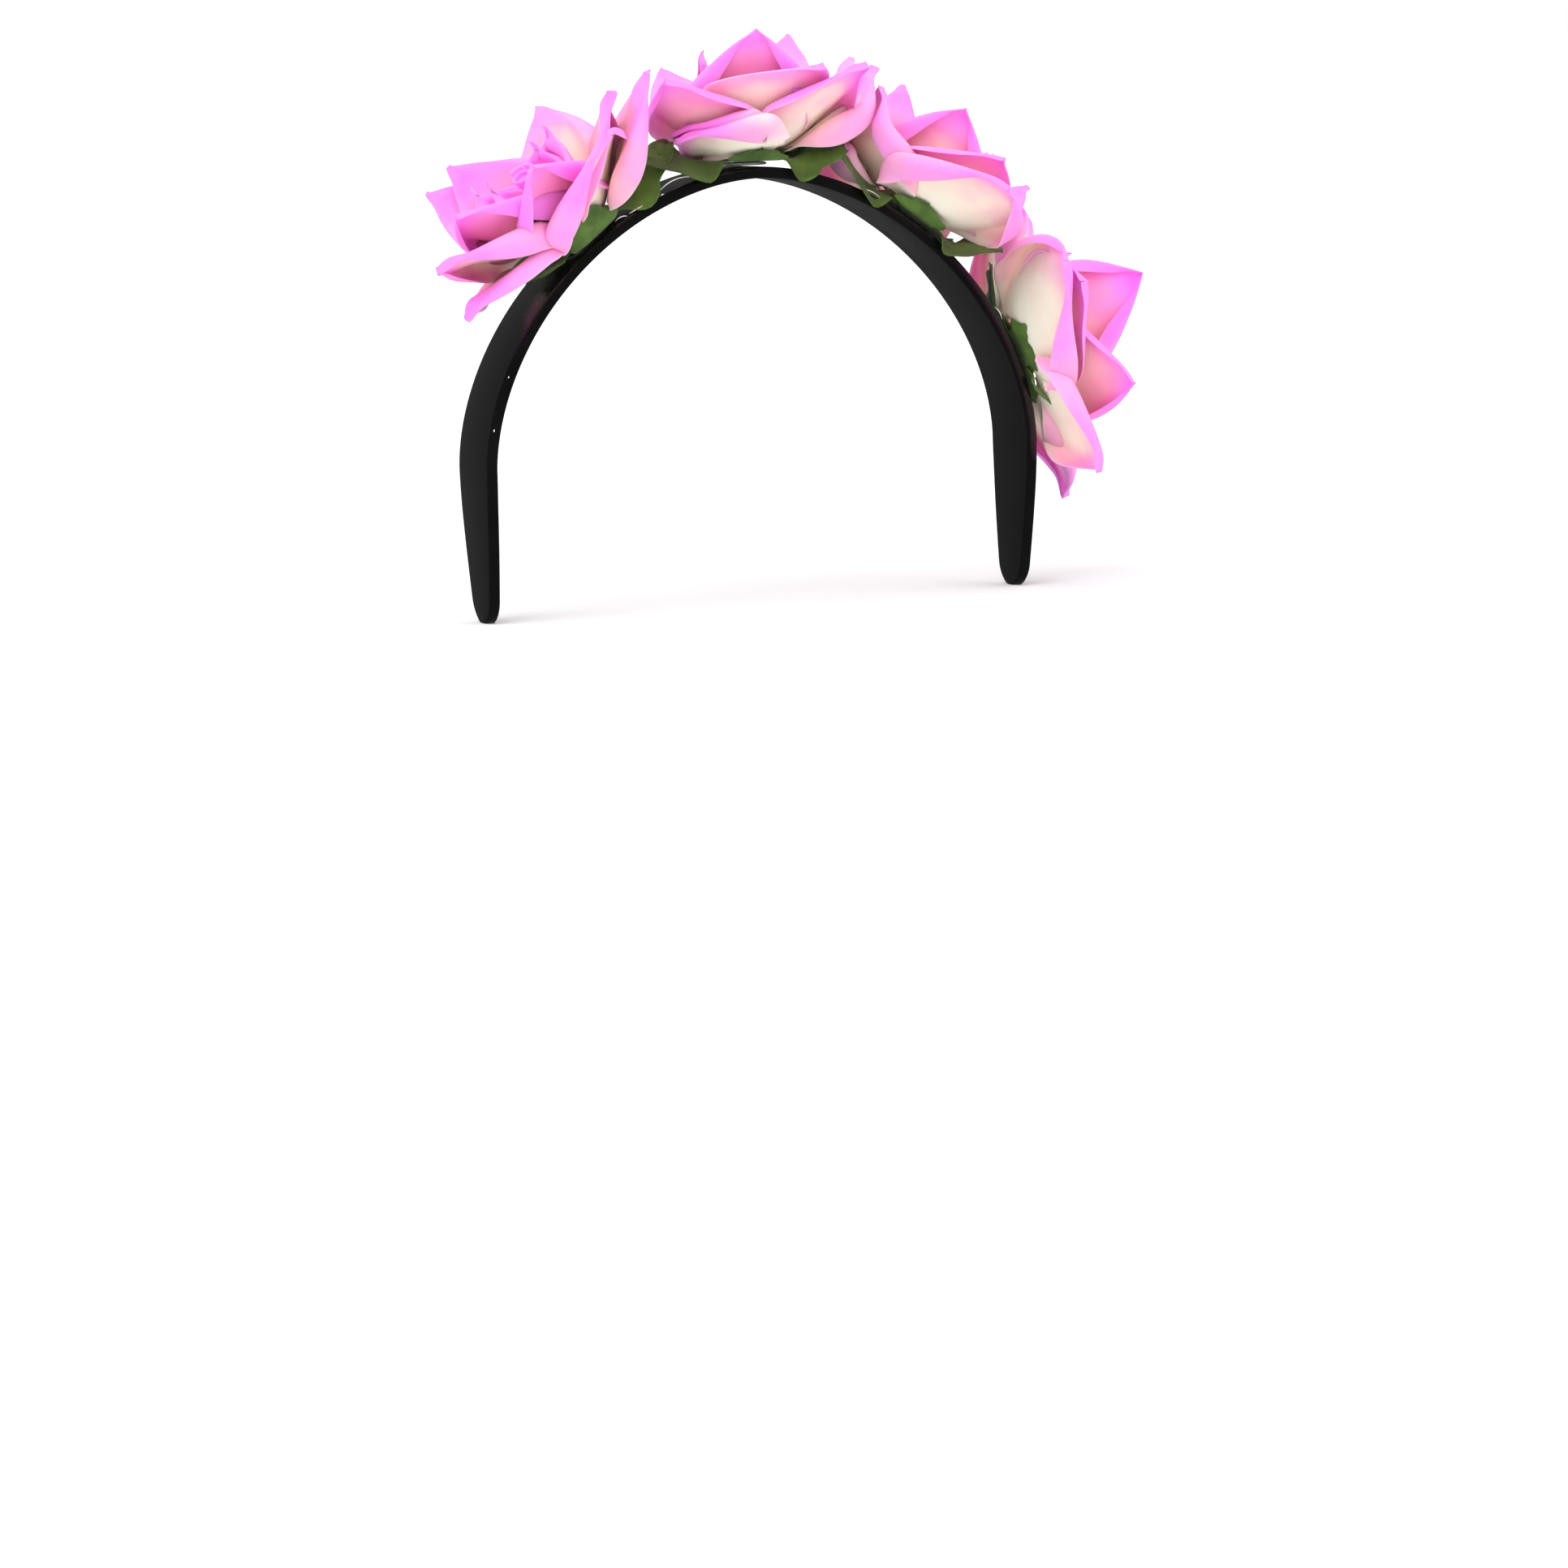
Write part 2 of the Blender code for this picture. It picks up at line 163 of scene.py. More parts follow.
FLOOR_REACH = 40.0
card, card_tree = start_material("pale_card")
card_grain = add_node(card_tree, "ShaderNodeTexNoise", {"Scale": 900.0, "Detail": 3.0})
card_shade = add_node(
    card_tree, "ShaderNodeValToRGB", {"Fac": card_grain.outputs[0]},
    stops=[(0.3, "#F2F2F2"), (0.7, "#F7F7F7")],
)
finish_material(card_tree, base_color=card_shade.outputs[0], roughness=0.9)
floor_mesh = bpy.data.meshes.new("floor")
corner = np.array([[-1, -1, 0], [1, -1, 0], [1, 1, 0], [-1, 1, 0]]) * FLOOR_REACH
corner[:, 2] = cad_box[0][2]
floor_mesh.from_pydata(corner.tolist(), [], [(0, 1, 2, 3)])
floor_mesh.materials.append(card)
floor = bpy.data.objects.new("floor", floor_mesh)
floor.visible_glossy = False
bpy.context.scene.collection.objects.link(floor)


# Headband: one injection moulding of black ABS, sprung to grip behind the ears. Its faces keep the
# gloss of the polished tool, its edges are broken by a small radius, and the tips are round.
BAND_HALF_WIDTH = 78.0 * MM
BAND_RISE = 75.7 * MM
BAND_ROUNDNESS = 1.82
BAND_WALL = 3.0 * MM
BAND_WIDTH = 23.5 * MM
LEG_LENGTH = 40.0 * MM
LEG_PULL_IN = 1.0 * MM
LEG_TIP_WIDTH = 12.5 * MM
LEG_STRAIGHT = 26.0 * MM
BAND_EDGE = 0.9 * MM
BAND_STATIONS = 420
END_CROWDING = 0.35
LAST_STATION = 0.9999
EDGE_SHARE = 0.7
EDGE_STEPS = 6
ACROSS = np.array([0.0, 1.0, 0.0])

# Each leg leaves the arch upright, draws in as the square of its drop, and is straight down to its tip
# from there. A table of points a fraction of a millimetre apart gives the place for an arc.
arch_angle = np.linspace(-pi / 2, pi / 2, 2001)
arch_x = BAND_HALF_WIDTH * np.sign(np.sin(arch_angle)) * np.abs(np.sin(arch_angle)) ** (2 / BAND_ROUNDNESS)
arch_z = BAND_RISE * np.abs(np.cos(arch_angle)) ** (2 / BAND_ROUNDNESS)
leg_drop = np.linspace(0, LEG_LENGTH, 500)[1:]
leg_bend = LEG_LENGTH - LEG_STRAIGHT
leg_draw = np.where(leg_drop < leg_bend, leg_drop**2, leg_bend * (2 * leg_drop - leg_bend))
leg_draw = BAND_HALF_WIDTH - leg_draw * LEG_PULL_IN / (leg_bend * (2 * LEG_LENGTH - leg_bend))
arch_x = np.concatenate([-leg_draw[::-1], arch_x, leg_draw])
arch_z = np.concatenate([-leg_drop[::-1], arch_z, -leg_drop]) - (BAND_RISE - BAND_WALL)
arch_arc = np.concatenate([[0], np.cumsum(np.hypot(np.diff(arch_x), np.diff(arch_z)))])
arch_arc -= arch_arc[-1] / 2
BAND_END = arch_arc[-1]
LEG_START = BAND_END - LEG_LENGTH


def arch_point(arc):
    """The band's outer face at an arc from its top: a superellipse that runs on down into two legs."""
    arc = np.asarray(arc, float)
    return np.stack([np.interp(arc, arch_arc, arch_x), 0 * arc, np.interp(arc, arch_arc, arch_z)], -1)


def arch_tangent(arc, step=1.0 * MM):
    """The direction of the band at an arc, from two points either side of it."""
    along = arch_point(arc + step) - arch_point(arc - step)
    return along / np.linalg.norm(along, axis=-1, keepdims=True)


def band_half_width(arc):
    """Half the band's width: even over the arch, narrower by the 1.5 power down a leg, round at the tip."""
    share = np.clip((np.abs(arc) - LEG_START) / (BAND_END - LEG_START), 0, 1)
    left = np.clip((BAND_END - np.abs(arc)) / (LEG_TIP_WIDTH / 2), 0, 1)
    return (BAND_WIDTH + (LEG_TIP_WIDTH - BAND_WIDTH) * share**1.5) / 2 * np.sqrt(1 - (1 - left) ** 2)


def add_piece(name, points, faces, finish, uv=None, attributes=None, sharp=None):
    """A mesh object at the origin, shaded smooth, with a UV map and float attributes given per vertex."""
    mesh = bpy.data.meshes.new(name)
    mesh.from_pydata(points.reshape(-1, 3).tolist(), [], faces)
    mesh.materials.append(finish)
    mesh.shade_smooth()
    if sharp is not None:
        mesh.set_sharp_from_angle(angle=radians(sharp))
    if uv is not None:
        corners = np.empty(len(mesh.loops), np.int32)
        mesh.loops.foreach_get("vertex_index", corners)
        layer = mesh.uv_layers.new(name="UVMap")
        layer.data.foreach_set("uv", uv.reshape(-1, 2)[corners].astype(np.float32).ravel())
    for key, values in (attributes or {}).items():
        held = mesh.attributes.new(key, "FLOAT", "POINT")
        held.data.foreach_set("value", values.astype(np.float32).ravel())
    obj = bpy.data.objects.new(name, mesh)
    bpy.context.scene.collection.objects.link(obj)
    return obj


def tube_faces(rows, columns):
    """Quads round a tube of rows by columns, closed round each row, with a strip of quads for each cap."""
    index = np.arange(rows * columns).reshape(rows, columns)
    nearer, further = index[:-1], index[1:]
    quads = np.stack([nearer, np.roll(nearer, -1, 1), np.roll(further, -1, 1), further], -1)
    faces = quads.reshape(-1, 4).tolist()
    for row, turn in ((index[0], 1), (index[-1], -1)):
        half = columns // 2
        near_side, far_side = row[:half], row[half:][::-1]
        cap = np.stack([near_side[:-1], far_side[:-1], far_side[1:], near_side[1:]], -1)
        faces += cap[:, ::turn].tolist()
    return faces


# The section is a flat bar with quarter-round corners, carried along the arch square to it: four
# quarter turns about the corners' centres. Its stations crowd towards the tips.
even = np.linspace(-1, 1, BAND_STATIONS)
station = LAST_STATION * BAND_END * (END_CROWDING * np.sin(pi / 2 * even) + (1 - END_CROWDING) * even)
half_widths = band_half_width(station)[:, None]
radius = np.minimum(BAND_EDGE, half_widths * EDGE_SHARE)
corner = np.repeat(np.arange(4), EDGE_STEPS) * pi / 2
angle = corner + np.tile(np.linspace(0, pi / 2, EDGE_STEPS), 4)
sides = np.sign(np.cos(corner + pi / 4)) * (half_widths - radius) + radius * np.cos(angle)
depths = np.sign(np.sin(corner + pi / 4)) * (BAND_WALL / 2 - radius) + radius * np.sin(angle) - BAND_WALL / 2
tangents = arch_tangent(station)
outwards = np.cross(tangents, ACROSS)
band_points = arch_point(station)[:, None] + sides[..., None] * ACROSS + depths[..., None] * outwards[:, None]

# Black ABS, injection moulded and left as it came from a polished tool: near-black with the soft
# reflections of a satin gloss, a fine ripple, and duller hazy patches where it is handled.
abs_black, tree = start_material("moulded_black_abs")
place = add_node(tree, "ShaderNodeTexCoord")
haze = add_node(tree, "ShaderNodeTexNoise", {"Vector": place.outputs["Object"], "Scale": 60.0, "Detail": 4.0})
gloss = add_node(
    tree, "ShaderNodeMapRange",
    {"Value": haze.outputs[0], "From Min": 0.3, "From Max": 0.7, "To Min": 0.2, "To Max": 0.34},
)
tone = add_node(
    tree, "ShaderNodeValToRGB", {"Fac": haze.outputs[0]}, stops=[(0.3, "#050506"), (0.7, "#0B0C0D")]
)
ripple = add_node(
    tree, "ShaderNodeTexNoise", {"Vector": place.outputs["Object"], "Scale": 700.0, "Detail": 2.0}
)
relief = add_node(
    tree, "ShaderNodeBump", {"Height": ripple.outputs[0], "Strength": 0.06, "Distance": 0.1 * MM}
)
finish_material(
    tree,
    base_color=tone.outputs[0],
    roughness=gloss.outputs[0],
    ior=1.53,
    specular_ior_level=0.35,
    normal=relief.outputs[0],
)

band = add_piece("moulded_headband", band_points, tube_faces(*band_points.shape[:2]), abs_black, sharp=60)
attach(band, "root")
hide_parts("headband")


# Rose seat: a rose grows out of a point on the band, on nested layers like the coats of an onion, so
# that its petals lie against each other without passing through.
FOAM = 0.7 * MM
FABRIC = 0.5 * MM
GAP = 0.3 * MM
GLUE_HEIGHT = 0.8 * MM
INNER_BASE = (3.2 * MM, 9.4 * MM)
OUTER_BASE = (12.6 * MM, 2.9 * MM)
INNER_OPENING = 4.0
INWARD_CURL = 20.0
OUTWARD_CURL = 34.0
CURL_CENTRE = 0.42
INNER_FLARE = 52.0
OUTER_FLARE = 24.0
FLARE_REACH = 0.15
LEAN_START = 5.0 * MM
LEAN_BLEND = 2.0 * MM
CALYX_LAYER = 1.13
NEIGHBOUR_BLEND = 1.3 * MM
NEIGHBOUR_STEP = 9.0 * MM
PROFILE_STEPS = 40


class Rose:
    """One rose: its arc on the band in mm, and in degrees its lean along and across and its four openings."""

    def __init__(self, name, arc, lean, openings, neighbours, petals):
        self.name, self.lean, self.openings, self.petals = name, np.tan(np.radians(lean)), openings, petals
        self.along = arch_tangent(arc * MM)
        self.axis = np.cross(self.along, ACROSS)
        self.origin = arch_point(arc * MM)
        self.planes = []
        for other in neighbours:
            middle = (arc + other) / 2 * MM
            self.planes.append((arch_point(middle), arch_tangent(middle) * np.sign(other - arc)))

    def profile(self, layer, azimuth, share, length):
        """Radius and height at a share of a petal, adding up the sine and cosine of the layer's slope.

        The slope is the tilt (from the axis inside to the opening outside), plus a curl that grows along
        the petal, plus a flare that dies away from its foot.
        """
        layer = np.broadcast_to(layer, share.shape)[..., None]
        steps = np.linspace(0, 1, PROFILE_STEPS + 1)
        left, back, right, front = self.openings
        sideways = np.where(np.cos(azimuth) > 0, left, right) * np.cos(azimuth) ** 2
        opening = (sideways + np.where(np.sin(azimuth) > 0, back, front) * np.sin(azimuth) ** 2)[..., None]
        slope = INNER_OPENING + (opening - INNER_OPENING) * layer
        slope = slope + (-INWARD_CURL + (OUTWARD_CURL + INWARD_CURL) * layer) * (steps - CURL_CENTRE)
        slope = slope + (INNER_FLARE + (OUTER_FLARE - INNER_FLARE) * layer) * np.exp(-steps / FLARE_REACH)
        slope = np.radians(slope)
        layer = layer[..., 0]
        radius = INNER_BASE[0] + (OUTER_BASE[0] - INNER_BASE[0]) * layer
        height = INNER_BASE[1] + (OUTER_BASE[1] - INNER_BASE[1]) * layer
        radius = radius + self.travelled(np.sin(slope), share) * length
        return radius, height + self.travelled(np.cos(slope), share) * length

    @staticmethod
    def travelled(rate, share):
        """The sum of a rate by the trapezium rule, from 0 to each share."""
        total = np.cumsum((rate[..., 1:] + rate[..., :-1]) / 2, axis=-1) / PROFILE_STEPS
        total = np.concatenate([np.zeros(total.shape[:-1] + (1,)), total], axis=-1)
        spot = np.clip(share * PROFILE_STEPS, 0, PROFILE_STEPS - 1e-6)
        low = spot.astype(int)[..., None]
        before, after = np.take_along_axis(total, low, -1), np.take_along_axis(total, low + 1, -1)
        return before[..., 0] + (after - before)[..., 0] * (spot - low[..., 0])

    def place(self, radius, azimuth, height, layer):
        """Points of the world from radius, azimuth and height: leaning, and pressed back from a neighbour.

        A piece without a layer is free to reach under the next rose.
        """
        lean = LEAN_BLEND * np.log1p(np.exp((height - LEAN_START) / LEAN_BLEND))
        points = (
            self.origin
            + (radius * np.cos(azimuth) + lean * self.lean[0])[..., None] * self.along
            + (radius * np.sin(azimuth) + lean * self.lean[1])[..., None] * ACROSS
            + (height + 0 * radius)[..., None] * self.axis
        )
        for middle, towards in self.planes if layer is not None else ():
            least = GAP + FOAM + (CALYX_LAYER - layer) * NEIGHBOUR_STEP
            distance = (middle - points) @ towards
            eased = least + NEIGHBOUR_BLEND * np.logaddexp(0, (distance - least) / NEIGHBOUR_BLEND)
            points = points + (distance - eased)[..., None] * towards
        return points


# Petals are azimuth in degrees, layer from 0 inside to about 1 outside, length and width in mm, how far
# the left and the right margin are rolled back, in degrees, how deep the pink dye has run, and the
# slant that the petal was glued on at, in degrees.
ROSES = (
    Rose(
        "right_rose", -50, (-9, -17), (44, 76, 84, 56), (0,),
        (
            (106, 0.30, 33, 30, 140, 150, 0.2, 0), (117, 0.43, 36, 30, 150, 120, 0.1, 0),
            (-146, 0.37, 35, 36, 120, 150, 0.3, 0), (-97, 0.49, 35, 28, 110, 150, 0.3, 0),
            (55, 0.63, 38, 34, 120, 150, -0.1, 0), (-156, 0.59, 38, 32, 150, 150, 0.0, 0),
            (-38, 0.66, 36, 34, 90, 120, 0.0, 0), (-68, 0.76, 37, 40, 150, 120, 0.1, 0),
            (-28, 0.94, 40, 30, 130, 150, 0.0, 0), (-161, 0.85, 32, 30, 90, 90, 0.0, 0),
        ),
    ),
    Rose(
        "top_rose", 0, (2, -5), (65, 88, 70, 58), (-50, 48),
        (
            (46, 0.33, 34, 30, 140, 150, 0.1, 0), (-108, 0.41, 36, 36, 150, 150, 0.2, 0),
            (105, 0.52, 36, 32, 150, 120, 0.1, 0), (-145, 0.70, 34, 32, 110, 60, 0.2, 0),
            (-98, 0.60, 33, 48, 30, 25, -0.1, 24), (10, 0.76, 37, 32, 150, 150, -0.3, 0),
            (-56, 0.69, 35, 32, 60, 120, 0.1, 0), (-96, 0.80, 29, 28, 20, 150, 0.1, -60),
            (-10, 0.87, 38, 30, 130, 150, -0.1, 0), (-86, 0.93, 33, 30, 40, 150, -0.1, -62),
        ),
    ),
    Rose(
        "left_rose", 48, (1, -1), (54, 71, 82, 79), (0, 96),
        (
            (122, 0.29, 34, 30, 140, 150, 0.1, 0), (-115, 0.37, 30, 32, 150, 150, 0.1, 0),
            (53, 0.44, 38, 34, 150, 120, 0.1, 0), (124, 0.52, 35, 32, 120, 150, 0.0, 0),
            (-90, 0.64, 34, 36, 60, 50, 0.1, 0), (-165, 0.72, 37, 38, 120, 150, 0.0, 0),
            (21, 0.59, 35, 34, 150, 150, 0.1, 0), (-87, 0.82, 38, 46, 170, 140, 0.0, 0),
            (80, 0.88, 36, 34, 130, 150, 0.0, 0), (165, 1.00, 34, 32, 150, 150, 0.0, 0),
        ),
    ),
    Rose(
        "low_left_rose", 96, (-11, -7), (83, 80, 47, 84), (48,),
        (
            (80, 0.22, 34, 30, 140, 150, 0.2, 0), (-100, 0.29, 34, 32, 150, 150, 0.2, 0),
            (18, 0.36, 38, 30, 150, 120, 0.1, 0), (129, 0.54, 37, 32, 120, 150, 0.1, 0),
            (-111, 0.84, 36, 36, 60, 40, 0.1, 0), (-70, 0.72, 35, 36, 60, 120, 0.1, 0),
            (142, 0.78, 40, 32, 150, 150, 0.0, 0), (-119, 0.95, 38, 46, 150, 140, 0.0, 0),
            (-53, 1.04, 38, 34, 100, 90, 0.0, 0), (12, 0.90, 36, 34, 150, 150, 0.0, 0),
        ),
    ),
)


# Petals: cut from 0.7 mm EVA foam sheet that was dip-dyed from the tip, then pressed warm so that both
# upper margins roll back and the tip is pinched to a beak. Each is glued round the receptacle by its foot.
PETAL_ROWS = 48
PETAL_COLUMNS = 26
ROLL_COLUMNS = 16
OVERHANG = 9.5 * MM
TURN_SHARE = 0.62
FULL_ROLL = 150.0
ROLL_STEPS = 48
PINCH = 1.6 * MM
BEAK = 1.8 * MM
WAVE = 0.3 * MM
FOOT_EASE = 0.5 * MM
FOLD_INSET = 1.5 * MM
PRESSED_SHARE = 0.35
PRESSED_REACH = 2.5
FOOT_WIDTH = 0.34
SHOULDER = 0.45
TIP_WIDTH = 0.015


def smooth_step(value, start, end):
    """0 before start, 1 after end, and an S curve between them."""
    share = np.clip((value - start) / (end - start), 0, 1)
    return share * share * (3 - 2 * share)


def kite_half_width(share, width):
    """Half the width between a petal's fold lines, which lie a little inside its outline.

    It grows from the foot to the shoulder as a quarter sine, then narrows almost straight to the tip.
    """
    low = FOOT_WIDTH + (1 - FOOT_WIDTH) * np.sin(pi / 2 * np.clip(share / SHOULDER, 0, 1))
    above = np.clip((share - SHOULDER) / (1 - SHOULDER), 0, 1)
    return (width / 2 - FOLD_INSET) * np.where(share < SHOULDER, low, 1 - (1 - TIP_WIDTH) * above**1.2)


def unit(vectors):
    """The same directions at length one."""
    return vectors / np.maximum(np.linalg.norm(vectors, axis=-1, keepdims=True), 1e-12)


def sheet_normals(points):
    """The back of a sheet at each point: its step across crossed with its step along."""
    return unit(np.cross(np.gradient(points, axis=1), np.gradient(points, axis=0)))


def closed_sheet(points, thickness):
    """A tube of rows round a sheet: its back, a rounded margin, its face, and the other margin."""
    normals = sheet_normals(points)
    half = np.asarray(thickness)[..., None] / 2 * np.ones_like(points[..., :1])
    face, back = points - normals * half, points + normals * half
    left = points[:, :1] + unit(points[:, :1] - points[:, 1:2]) * half[:, :1]
    right = points[:, -1:] + unit(points[:, -1:] - points[:, -2:-1]) * half[:, -1:]
    return np.concatenate([back, right, face[:, ::-1], left], 1)


def sheet_values(values):
    """Values of a sheet's points, carried round the tube that closed_sheet makes of them."""
    return np.concatenate([values, values[:, -1:], values[:, ::-1], values[:, :1]], 1)


def rolled_margin(edge, out, sign, overhang, degrees_rolled):
    """The sheet beyond a fold line, turned back about it until it lies almost flat on the petal's back.

    At a share v of the overhang it has turned by the whole angle times 1 - (1 - v / TURN_SHARE)^1.6, and
    from TURN_SHARE on it runs straight. Its place adds up the cosine of that away from the line and the
    sine behind it.
    """
    beyond = sign * unit(np.cross(np.gradient(edge, axis=0), out))
    fine = np.linspace(0, 1, ROLL_STEPS + 1)
    angle = np.radians(degrees_rolled)[:, None] * (1 - (1 - np.clip(fine / TURN_SHARE, 0, 1)) ** 1.6)
    kept = slice(ROLL_STEPS // ROLL_COLUMNS - 1, None, ROLL_STEPS // ROLL_COLUMNS)
    away, behind = (
        overhang[:, None] * np.cumsum((rate[:, 1:] + rate[:, :-1]) / 2, 1)[:, kept] / ROLL_STEPS
        for rate in (np.cos(angle), np.sin(angle))
    )
    return edge[:, None] + beyond[:, None] * away[..., None] + out[:, None] * behind[..., None]


def petal_surface(rose, petal, seed, overhang=OVERHANG, spiral=0.0):
    """Points of a petal's middle surface, how far along each is, and how near the margin in mm.

    Between the two fold lines the sheet follows its layer, turned on it by its slant, with a pinch that
    leans its sides back towards the tip, a beak that bends back, and a slow wave. Beyond a fold line it
    is rolled back, and the further it is rolled the wider the strip that is turned. A spiral moves its
    layer evenly outwards from one side to the other.
    """
    degrees, layer, length, width, roll_left, roll_right, _, slant = petal
    length, width, centre, slant = length * MM, width * MM, radians(degrees), radians(slant)
    phase = np.random.default_rng(seed).uniform(0, 2 * pi, 4)
    share = 1 - (1 - np.linspace(0, 1, PETAL_ROWS)) ** 1.15
    fold = kite_half_width(share, width)
    rows, columns = np.meshgrid(share, np.linspace(-1, 1, PETAL_COLUMNS), indexing="ij")
    out = rows * length * cos(slant) - columns * fold[:, None] * sin(slant)
    out = (out + np.sqrt(out**2 + FOOT_EASE**2)) / 2 / length
    aside = rows * length * sin(slant) + columns * fold[:, None] * cos(slant)
    radius, _ = rose.profile(layer, np.full(rows.shape, centre), out, length)
    azimuth = centre + np.clip(aside / radius, -pi * 0.6, pi * 0.6)
    radius, height = rose.profile(layer + spiral * columns, azimuth, out, length)
    points = rose.place(radius, azimuth, height, layer)
    wave = np.sin(7 * rows + 2.5 * columns + phase[0]) + 0.7 * np.sin(11 * rows - 4 * columns + phase[1])
    push = WAVE * wave * rows + PINCH * np.abs(columns) ** 1.6 * smooth_step(rows, 0.35, 0.9)
    push = push + BEAK * smooth_step(rows, 0.8, 1.0) ** 2
    points = points + sheet_normals(points) * push[..., None]
    normals = sheet_normals(points)
    hang = overhang * (0.2 + 0.8 * smooth_step(share, 0.05, 0.42))
    hang = hang * (1 - 0.97 * smooth_step(share, SHOULDER, 1.0) ** 1.2)
    parts = [points]
    for column, sign, rolled in ((0, -1, roll_left), (-1, 1, roll_right)):
        uneven = 1 + 0.07 * np.sin(8 * share + phase[2 + (sign > 0)])
        strip = hang * uneven * rolled / FULL_ROLL
        turned = rolled_margin(
            points[:, column], normals[:, column], sign, strip, rolled * smooth_step(share, 0.0, 0.4)
        )
        parts = [turned[:, ::-1], *parts] if sign < 0 else [*parts, turned]
    points = np.concatenate(parts, 1)
    across = np.linalg.norm(np.diff(points, axis=1), axis=-1)
    across = np.concatenate([np.zeros((PETAL_ROWS, 1)), np.cumsum(across, 1)], 1)
    nearest = np.minimum(across, across[:, -1:] - across)
    margin = np.minimum(nearest, (1 - share[:, None]) * length + 0 * nearest) / MM
    return points, share[:, None] + 0 * margin, margin


def petal_ring(surface, dye):
    """The closed sheet of a petal, thinner towards its pressed margin, with the values that its dye and its
    painted inner shade follow.
    """
    points, along_share, margin = surface
    full = PRESSED_SHARE + (1 - PRESSED_SHARE) * np.clip(margin / PRESSED_REACH, 0, 1)
    ring = closed_sheet(points, FOAM * full)
    columns = points.shape[1]
    # The inner face is marked so that the foam can be coloured a step deeper there, as painted shade.
    inside = np.concatenate([np.zeros(columns), [0.5], np.ones(columns), [0.5]])
    return ring, {
        "along": sheet_values(along_share),
        "margin": sheet_values(margin),
        "inside": inside + 0 * ring[..., 0],
        "dye": np.full(ring.shape[:2], dye),
    }


def add_rings(name, rings, finish, uv=None):
    """One piece of several closed sheets, each a tube of rows round it, with their values."""
    faces, start = [], 0
    for ring, _ in rings:
        faces += [[start + corner for corner in face] for face in tube_faces(*ring.shape[:2])]
        start += ring.shape[0] * ring.shape[1]
    points = np.concatenate([ring.reshape(-1, 3) for ring, _ in rings])
    values = {key: np.concatenate([held[key].ravel() for _, held in rings]) for key in rings[0][1]}
    return add_piece(name, points, faces, finish, uv=uv, attributes=values)


# Dyed EVA foam, calendered matt: milky cream where the dye stops, pink through the middle and orchid
# along the rolled margins. The inner face is coloured a step deeper as painted shade. It lets light
# through, so folds glow, and it has a faint suede grain.
foam, tree = start_material("dip_dyed_eva_foam")
place = add_node(tree, "ShaderNodeTexCoord")
along = add_node(tree, "ShaderNodeAttribute", attribute_name="along")
edge = add_node(tree, "ShaderNodeAttribute", attribute_name="margin")
inside = add_node(tree, "ShaderNodeAttribute", attribute_name="inside")
dye = add_node(tree, "ShaderNodeAttribute", attribute_name="dye")
run = add_node(tree, "ShaderNodeTexNoise", {"Vector": place.outputs["Object"], "Scale": 70.0, "Detail": 2.0})
run_shift = add_node(
    tree, "ShaderNodeMapRange",
    {"Value": run.outputs[0], "From Min": 0.3, "From Max": 0.7, "To Min": -0.14, "To Max": 0.14},
)
rim_shift = add_node(
    tree, "ShaderNodeMapRange",
    {"Value": edge.outputs["Fac"], "From Min": 2.0, "From Max": 12.0, "To Min": 0.34, "To Max": 0.0},
    interpolation_type="SMOOTHSTEP",
)
# Painted shade: the inner face of every petal is coloured deeper, as if it lay in the shade of the cup.
inner_face_painted_shade = add_node(
    tree, "ShaderNodeMapRange", {"Value": inside.outputs["Fac"], "To Min": 0.0, "To Max": 0.18}
)
# The depth adds up the run along the petal, random runs, the margins, the painted shade of the inner face and
# each petal's own dye value.
dye_and_inner_shade = along.outputs["Fac"]
for shift in (run_shift.outputs[0], rim_shift.outputs[0], inner_face_painted_shade.outputs[0], dye.outputs["Fac"]):
    dye_and_inner_shade = add_node(tree, "ShaderNodeMath", {0: dye_and_inner_shade, 1: shift}, operation="ADD").outputs[0]
depth = add_node(tree, "ShaderNodeMapRange", {"Value": dye_and_inner_shade, "From Min": 0.1, "From Max": 1.5})
foam_colour = add_node(
    tree, "ShaderNodeValToRGB", {"Fac": depth.outputs[0]},
    stops=[
        (0.04, "#FFF1DA"), (0.24, "#FFE4D2"), (0.38, "#FFC8CC"), (0.54, "#FFA6CE"), (0.74, "#FF9AE0"),
        (1.0, "#FB86EC"),
    ],
)
suede = add_node(
    tree, "ShaderNodeTexNoise", {"Vector": place.outputs["Object"], "Scale": 1600.0, "Detail": 2.0}
)
foam_relief = add_node(
    tree, "ShaderNodeBump", {"Height": suede.outputs[0], "Strength": 0.12, "Distance": 0.12 * MM}
)
finish_material(
    tree,
    base_color=foam_colour.outputs[0],
    roughness=0.7,
    ior=1.48,
    specular_ior_level=0.25,
    subsurface_weight=0.7,
    subsurface_radius=(1.9, 1.5, 1.6),
    subsurface_scale=1.0 * MM,
    normal=foam_relief.outputs[0],
)

for rose_number, rose in enumerate(ROSES):
    for number, petal in enumerate(rose.petals, 1):
        surface = petal_surface(rose, petal, 100 * rose_number + number)
        piece = add_rings(f"{rose.name}_foam_petal_{number:02d}", [petal_ring(surface, petal[6])], foam)
        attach(piece, "root")
        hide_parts(f"{rose.name}_petal_{number:02d}")


